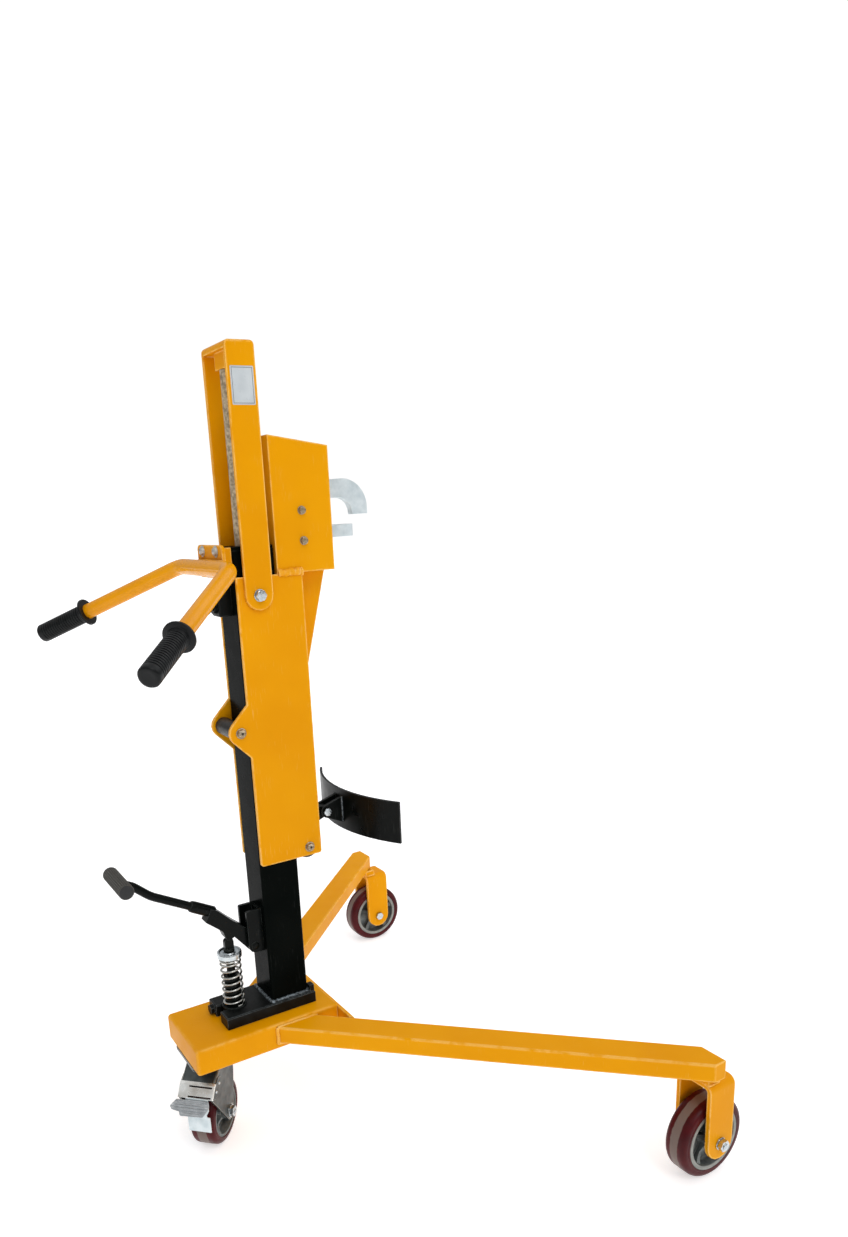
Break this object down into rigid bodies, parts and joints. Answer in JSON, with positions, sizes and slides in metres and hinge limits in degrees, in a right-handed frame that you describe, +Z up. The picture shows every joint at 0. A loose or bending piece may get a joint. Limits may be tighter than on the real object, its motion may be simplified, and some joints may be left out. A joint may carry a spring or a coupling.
{
  "type": "drum lifter",
  "caption": "Hydraulic foot-pump drum truck: splayed legs on wheels, square mast, lifting carriage with beak clamp and tilting drum rest.",
  "frame": {"origin": "on the floor, midway along the truck's length and width", "axes": "+Z up, +Y from the handle towards the drum, +X to the truck's right"},
  "size_m": [1.2428, 0.9064, 1.427],
  "materials": {
    "yellow_paint": "satin golden yellow powder coat",
    "black_paint": "satin black enamel",
    "black_rubber": "matt black rubber",
    "black_plastic": "glossy black thermoset",
    "zinc_plate": "bright zinc plating",
    "bright_steel": "ground and polished steel",
    "fork_steel": "dull zinc-plated pressed steel",
    "grey_casting": "grey painted casting",
    "maroon_tread": "cast polyurethane, worn grey on its running band",
    "light_grey": "light grey coated steel"
  },
  "bodies": {
    "base": {"base_beam": "yellow_paint", "right_leg": "yellow_paint", "left_leg": "yellow_paint", "front_tie_plate": "yellow_paint", "right_wheel_fork": "yellow_paint", "left_wheel_fork": "yellow_paint", "right_axle_bolt": "zinc_plate", "left_axle_bolt": "zinc_plate", "right_axle_nut": "zinc_plate", "left_axle_nut": "zinc_plate", "caster_top_plate": "fork_steel", "pump_block": "black_paint", "mast_tube": "black_paint", "mast_gland": "black_paint", "lift_cylinder": "bright_steel", "pump_barrel": "black_paint", "pump_spring": "bright_steel", "pedal_bracket": "black_paint", "pedal_pin": "black_paint", "handle_bracket": "yellow_paint", "handle_bar": "yellow_paint", "right_grip": "black_rubber", "left_grip": "black_rubber", "release_valve_block": "black_paint"},
    "right_wheel": {"right_tread": "maroon_tread", "right_hub": "grey_casting"},
    "left_wheel": {"left_tread": "maroon_tread", "left_hub": "grey_casting"},
    "caster_swivel": {"caster_fork": "fork_steel", "caster_brake_bridge": "zinc_plate", "caster_axle_bolt": "zinc_plate"},
    "caster_wheel": {"caster_tread": "maroon_tread", "caster_hub": "grey_casting"},
    "caster_brake": {"caster_brake_pedal": "light_grey"},
    "release_knob": {"release_knob": "black_plastic"},
    "pedal": {"pedal_lever": "black_paint", "pedal_pad": "black_rubber"},
    "pump": {"pump_piston": "black_paint", "spring_cap": "zinc_plate"},
    "carriage": {"right_side_plate": "yellow_paint", "left_side_plate": "yellow_paint", "carriage_front_plate": "yellow_paint", "yoke": "yellow_paint", "right_yoke_bolt": "zinc_plate", "left_yoke_bolt": "zinc_plate", "piston_rod": "bright_steel", "clamp_housing": "yellow_paint", "housing_gusset": "yellow_paint", "upper_jaw_pin": "zinc_plate", "lower_jaw_pin": "zinc_plate", "lower_jaw": "zinc_plate", "rear_guide_roller_bolt": "zinc_plate", "front_guide_roller_bolt": "zinc_plate", "rest_bracket": "black_paint", "rest_bolt": "zinc_plate"},
    "rear_roller": {"rear_guide_roller": "black_paint"},
    "front_roller": {"front_guide_roller": "black_paint"},
    "upper_jaw": {"upper_jaw": "zinc_plate"},
    "drum_rest": {"drum_rest": "black_paint"}
  },
  "joints": [
    {"name": "lift", "type": "slide", "parent": "base", "child": "carriage", "axis": [0, 0, 1], "range_m": [-0.26, 0.17]},
    {"name": "rear_roller_turn", "type": "hinge", "parent": "carriage", "child": "rear_roller", "pos_m": [0, -0.2069, 0.799], "axis": [1, 0, 0], "range_deg": [-622, 950]},
    {"name": "front_roller_turn", "type": "hinge", "parent": "carriage", "child": "front_roller", "pos_m": [0, -0.0925, 0.564], "axis": [1, 0, 0], "range_deg": [-646, 423]},
    {"name": "beak_swing", "type": "hinge", "parent": "carriage", "child": "upper_jaw", "pos_m": [0, -0.0619, 1.164], "axis": [1, 0, 0], "range_deg": [0, 28]},
    {"name": "drum_rest_tilt", "type": "hinge", "parent": "carriage", "child": "drum_rest", "pos_m": [0, -0.0374, 0.613], "axis": [1, 0, 0], "range_deg": [-8, 8]},
    {"name": "pedal_press", "type": "hinge", "parent": "base", "child": "pedal", "pos_m": [0, -0.2082, 0.388], "axis": [1, 0, 0], "range_deg": [0, 32], "stiffness_Nm_per_rad": 8, "springref_deg": -22.92},
    {"name": "pump_stroke", "type": "slide", "parent": "base", "child": "pump", "axis": [0, 0, 1], "range_m": [-0.0285, 0], "deforming": ["pump_spring"]},
    {"name": "release_turn", "type": "hinge", "parent": "base", "child": "release_knob", "pos_m": [0, -0.2349, 1.012], "axis": [0, 1, 0], "range_deg": [0, 90]},
    {"name": "caster_turn", "type": "hinge", "parent": "base", "child": "caster_swivel", "pos_m": [0, -0.3184, 0.18], "axis": [0, 0, 1], "continuous": true},
    {"name": "caster_roll", "type": "hinge", "parent": "caster_swivel", "child": "caster_wheel", "pos_m": [-0.00566, -0.31274, 0.0625], "axis": [0.7071, 0.7071, 0], "continuous": true},
    {"name": "brake_press", "type": "hinge", "parent": "caster_swivel", "child": "caster_brake", "pos_m": [0.04936, -0.36775, 0.1245], "axis": [0.7071, 0.7071, 0], "range_deg": [0, 12]},
    {"name": "right_wheel_roll", "type": "hinge", "parent": "base", "child": "right_wheel", "pos_m": [0.5706, 0.3782, 0.075], "axis": [1, 0, 0], "continuous": true},
    {"name": "left_wheel_roll", "type": "hinge", "parent": "base", "child": "left_wheel", "pos_m": [-0.5706, 0.3782, 0.075], "axis": [1, 0, 0], "continuous": true}
  ],
  "couplings": [
    {"joint": "rear_roller_turn", "follows": "lift", "rad_per_m": -63.694},
    {"joint": "front_roller_turn", "follows": "lift", "rad_per_m": 43.29},
    {"joint": "pump_stroke", "follows": "pedal_press", "m_per_rad": -0.0505}
  ]
}
